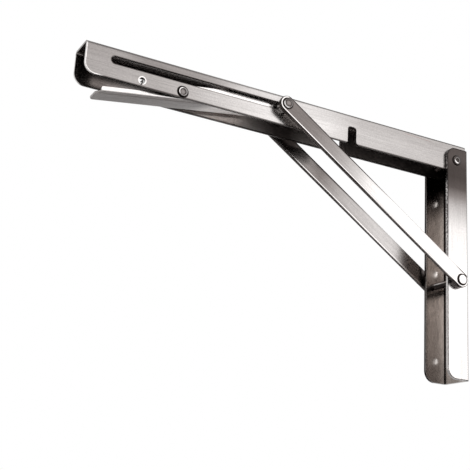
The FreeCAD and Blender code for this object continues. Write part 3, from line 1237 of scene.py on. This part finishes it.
@dataclass(frozen=True)
class Rivet:
    """A rivet with two like heads, whose steel says where its axis and heads lie."""

    node: str
    body: str
    head: Head
    steel: TurnedSteel
    shank_r: float

    def build(self) -> None:
        """Turn the rivet, in place of its plain node.

        Its outline runs from the middle of one head over the shank to the other.
        """
        foot = self.steel.foot
        top = self.head.profile(foot)
        neck = np.array([(self.shank_r, foot), (self.shank_r, -foot)])
        outline = np.concatenate([top, neck, top[::-1] * (1, -1)])
        made = turned(self.node + "_turned", self.steel.middle, outline)
        paint(made, self.steel.build())
        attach(made, self.body)
        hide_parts(self.node)


@dataclass
class Fastenings:
    """Rivets, the sliding pin's heads, washers, spacers and pin ends."""

    nodes: dict[str, Piece]
    brace_out: float = 17.65
    play: float = 0.05
    stub_r: float = 2.0
    # painted rings of reflection and shade on the sliding pin's heads
    pin_rings: Stops = (
        (0, 0.26), (1.7, 0.18), (2.2, 0.03), (2.5, 0.1), (3, 0.4), (3.3, 0.02), (3.8, 0.01),
    )
    # the washers, spacers and sliding pin are painted dark as shade between the sheets
    washer_steel: SteelFinish = SteelFinish(
        "washer_steel", colour=(0.40, 0.38, 0.37), cloud_colour=(0.2, 0.19, 0.18), grain=Grain.SPUN
    )

    def rivets(self) -> tuple[Rivet, ...]:
        """The three rivets.

        Returns:
            The arm's, the braces' and the lever's.
        """
        # The rivets' rings and glints are painted reflection and shade.
        top_steel = TurnedSteel(
            "top_rivet_steel",
            middle=TOP_PIVOT,
            foot=UprightSteel.outer,
            rings=((0.0, 0.1), (0.9, 0.02), (1.5, 0.03), (1.9, 0.3), (2.4, 0.03), (3.0, 0.12), (3.4, 0.03)),
            glint=(0.5, -0.87),
            glint_ring=(1.8, 2.4),
        )
        brace_steel = TurnedSteel(
            "brace_rivet_steel",
            middle=FOOT_PIVOT,
            foot=self.brace_out + self.play,
            rings=((0.0, 1.0), (3.0, 1.0), (3.3, 0.05), (4.05, 0.04)),
            glint_level=0.0,
        )
        lever_steel = TurnedSteel(
            "lever_rivet_steel",
            middle=LEVER_PIVOT,
            foot=ArmSteel.outer,
            rings=((0.0, 0.35), (1.5, 0.22), (1.95, 0.05), (2.3, 0.4), (2.8, 0.4), (3.0, 0.02), (3.7, 0.01)),
            glint=(0.9, 0.4),
            glint_ring=(2.3, 2.8),
        )
        return (
            Rivet("top_rivet", "wall", BIG_DOME, top_steel, shank_r=2.5),
            Rivet("brace_rivet", "wall", FLAT, brace_steel, shank_r=2.3),
            Rivet("lever_rivet", "arm", HOLLOW, lever_steel, shank_r=1.9),
        )

    def _pin_head(self, name: str, side: int, steel: bpy.types.Material) -> None:
        """Turn one end of the sliding pin: a domed head on the stub in the brace.

        Args:
            name: the node it takes the place of.
            side: 1 on the right and -1 on the left.
            steel: its material.
        """
        top = DOME.profile(self.brace_out)
        near = StrapSteel.near
        stub = [(self.stub_r, self.brace_out), (self.stub_r, near), (0.0, near)]
        outline = np.concatenate([top, np.array(stub)])
        if side < 0:
            outline = outline[::-1] * (1, -1)
        made = turned(name + "_turned", PIN_PLACE, outline)
        paint(made, steel)
        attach(made, "braces")
        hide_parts(name)

    def build(self) -> None:
        """Turn the rivets and the pin's heads, and dress what is between them."""
        for rivet in self.rivets():
            rivet.build()
        steel = TurnedSteel(
            "pin_steel", middle=PIN_PLACE, foot=self.brace_out, rings=self.pin_rings, glint_ring=(2.7, 3.2)
        ).build()
        self._pin_head("pin_head_left", -1, steel)
        self._pin_head("pin_head_right", 1, steel)
        washer = self.washer_steel.build()
        for name, node in self.nodes.items():
            if "washer" in name or "spacer" in name or "slide_pin" in name:
                paint(node, washer)


@dataclass
class LeverSpring:
    """The torsion spring: a coil round the lever rivet, a foot and a hooked end."""

    wire_r: float = 0.5
    wire_sides: int = 12
    coil_r: float = 2.95
    turns: int = 3
    turn_steps: int = 48
    pitch: float = 1.15
    start_y: float = 0.4
    foot_length: float = 17.0
    foot_play: float = 0.1
    hook: Pair = (261.5, 79.75)
    hook_out: float = 12.0
    hook_end: float = 2.3
    hook_bend: float = 1.0
    hook_steps: int = 8
    steel: SteelFinish = SteelFinish(
        "spring_steel",
        colour=(0.16, 0.15, 0.145),
        cloud_colour=(0.08, 0.075, 0.07),
        roughness=0.3,
        grain=Grain.SPUN,
        edge_radius=0.05,
    )

    def path(self) -> np.ndarray:
        """The wire's middle line, in millimetres.

        The coil is (r cos t, y, r sin t) with t falling and y rising evenly. A
        straight foot runs into it, and a straight leg with two bends leaves it.

        Returns:
            Its points from the foot's end to the hook's end.
        """
        mx, mz = LEVER_PIVOT
        hx, hz = self.hook
        first = -math.pi / 2 - LEVER_SLOPE
        rise = math.atan2(hz - mz - self.coil_r, hx - mx)
        sweep = 2 * math.pi * self.turns - (math.pi / 2 + rise - first)
        share = np.linspace(0.0, 1.0, self.turn_steps * self.turns)
        turn = first - sweep * share
        y = self.start_y + self.pitch * sweep / (2 * math.pi) * share
        coil = np.stack([mx + self.coil_r * np.cos(turn), y, mz + self.coil_r * np.sin(turn)], axis=1)
        ahead = np.array([math.cos(LEVER_SLOPE), 0, -math.sin(LEVER_SLOPE)])
        foot = coil[0] + ahead * self.foot_length
        end = (hx, self.hook_out, hz - self.hook_end)
        leg = np.array([coil[-1], (hx, y[-1], hz), (hx, self.hook_out, hz), end])
        leg = rounded(leg, np.full(2, self.hook_bend), self.hook_steps)
        return np.concatenate([foot[None, :], coil, leg[1:]])

    def build(self) -> None:
        """Sweep the wire along its path, in place of its plain node.
        """
        made = swept("lever_spring_wire", self.path(), self.wire_r, self.wire_sides)
        paint(made, self.steel.build())
        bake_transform(made)
        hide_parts("lever_spring")


def main() -> None:
    """Dress the bracket, then set up the studio and the camera."""
    Sheetwork(frame["nodes"]).dress()
    Fastenings(frame["nodes"]).build()
    LeverSpring().build()
    Studio().build()
    Viewpoint().build()
    bpy.context.scene.view_settings.view_transform = "Standard"


if __name__ == "__main__":
    logging.basicConfig(level=logging.INFO)
    main()
